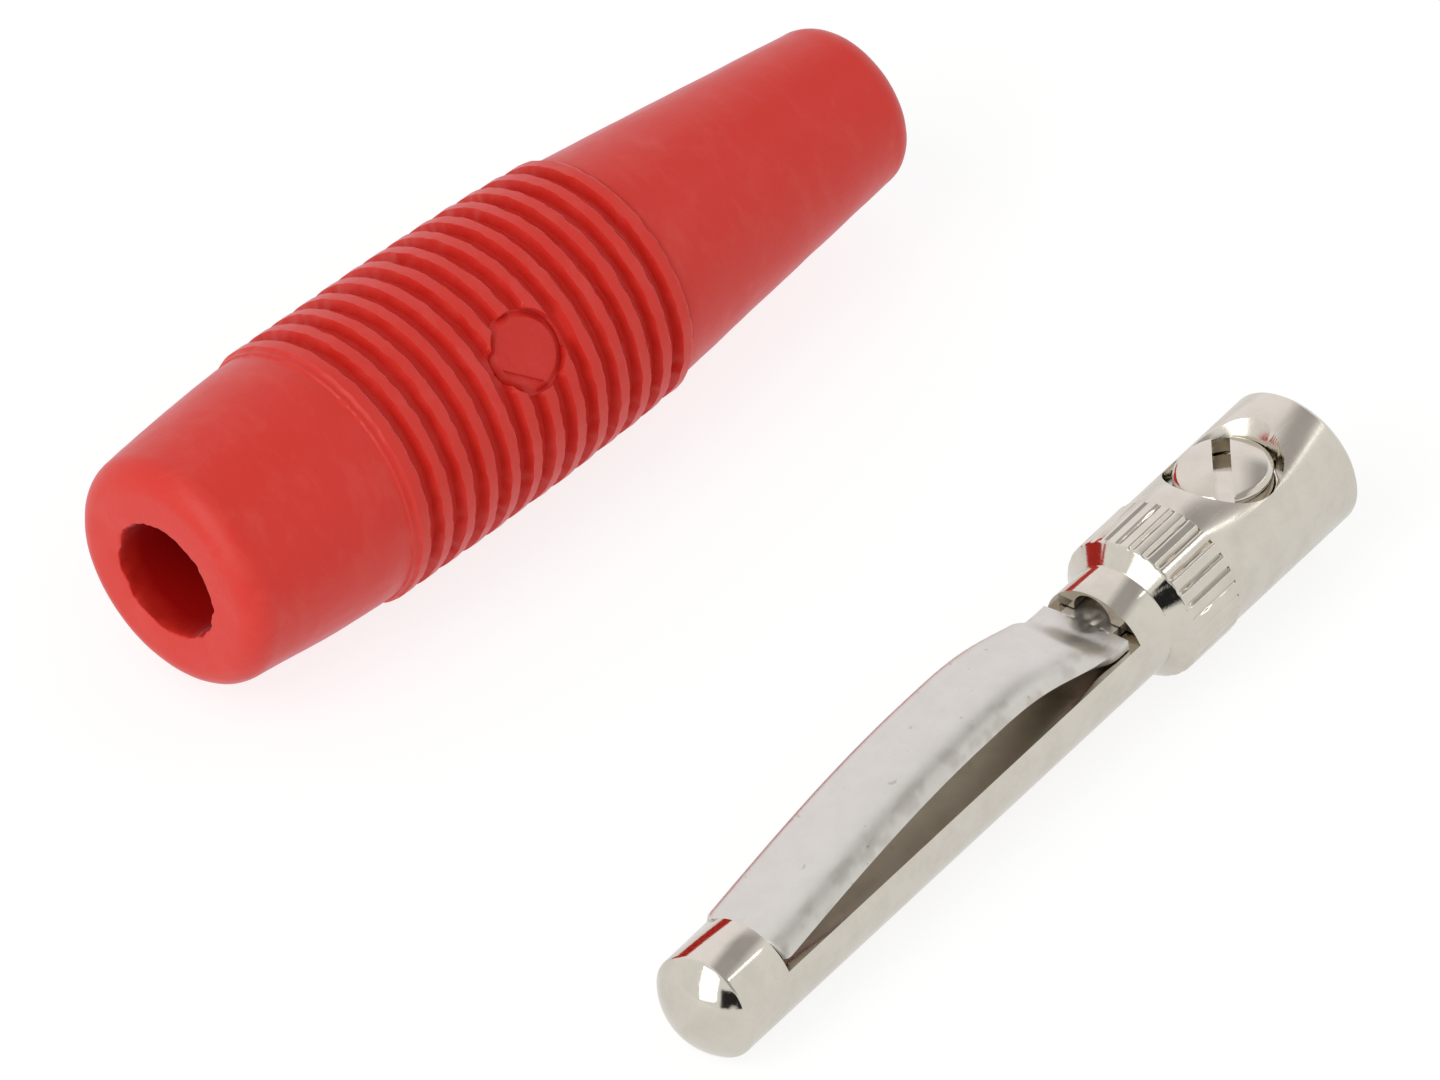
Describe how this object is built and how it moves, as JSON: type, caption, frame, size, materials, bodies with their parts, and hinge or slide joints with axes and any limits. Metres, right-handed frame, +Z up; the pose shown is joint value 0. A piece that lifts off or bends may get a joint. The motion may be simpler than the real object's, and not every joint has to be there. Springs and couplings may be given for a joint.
{
  "type": "banana plug",
  "caption": "Four millimetre banana plug apart for wiring: turned contact with bowed leaf spring and clamp screw, beside its ribbed tapered sleeve.",
  "frame": {"origin": "middle of the footprint at floor level", "axes": "+X along the contact from its tip to its cable end, +Y from the contact towards the sleeve, +Z up"},
  "size_m": [0.0356, 0.0306, 0.0095],
  "materials": {
    "contact_plating": "bright nickel plate over turned brass",
    "spring_plating": "satin nickel plate over rolled copper alloy strip",
    "screw_plating": "bright nickel plate over turned brass",
    "sleeve_plastic": "satin red moulded plastic"
  },
  "bodies": {
    "contact": {"contact_body": "contact_plating", "insulating_sleeve": "sleeve_plastic"},
    "spring": {"leaf_spring": "spring_plating"},
    "screw": {"clamp_screw": "screw_plating"}
  },
  "joints": [
    {"name": "leaf_press", "type": "slide", "parent": "contact", "child": "spring", "axis": [0.03, -0.1219, -0.9921], "range_m": [0, 0.001], "stiffness_N_per_m": 3000, "deforming": ["leaf_spring"]},
    {"name": "clamp_turn", "type": "hinge", "parent": "contact", "child": "screw", "pos_m": [0.01068, -0.01239, 0.00516], "axis": [-0.03, 0.1219, 0.9921], "range_deg": [0, 1080]}
  ]
}
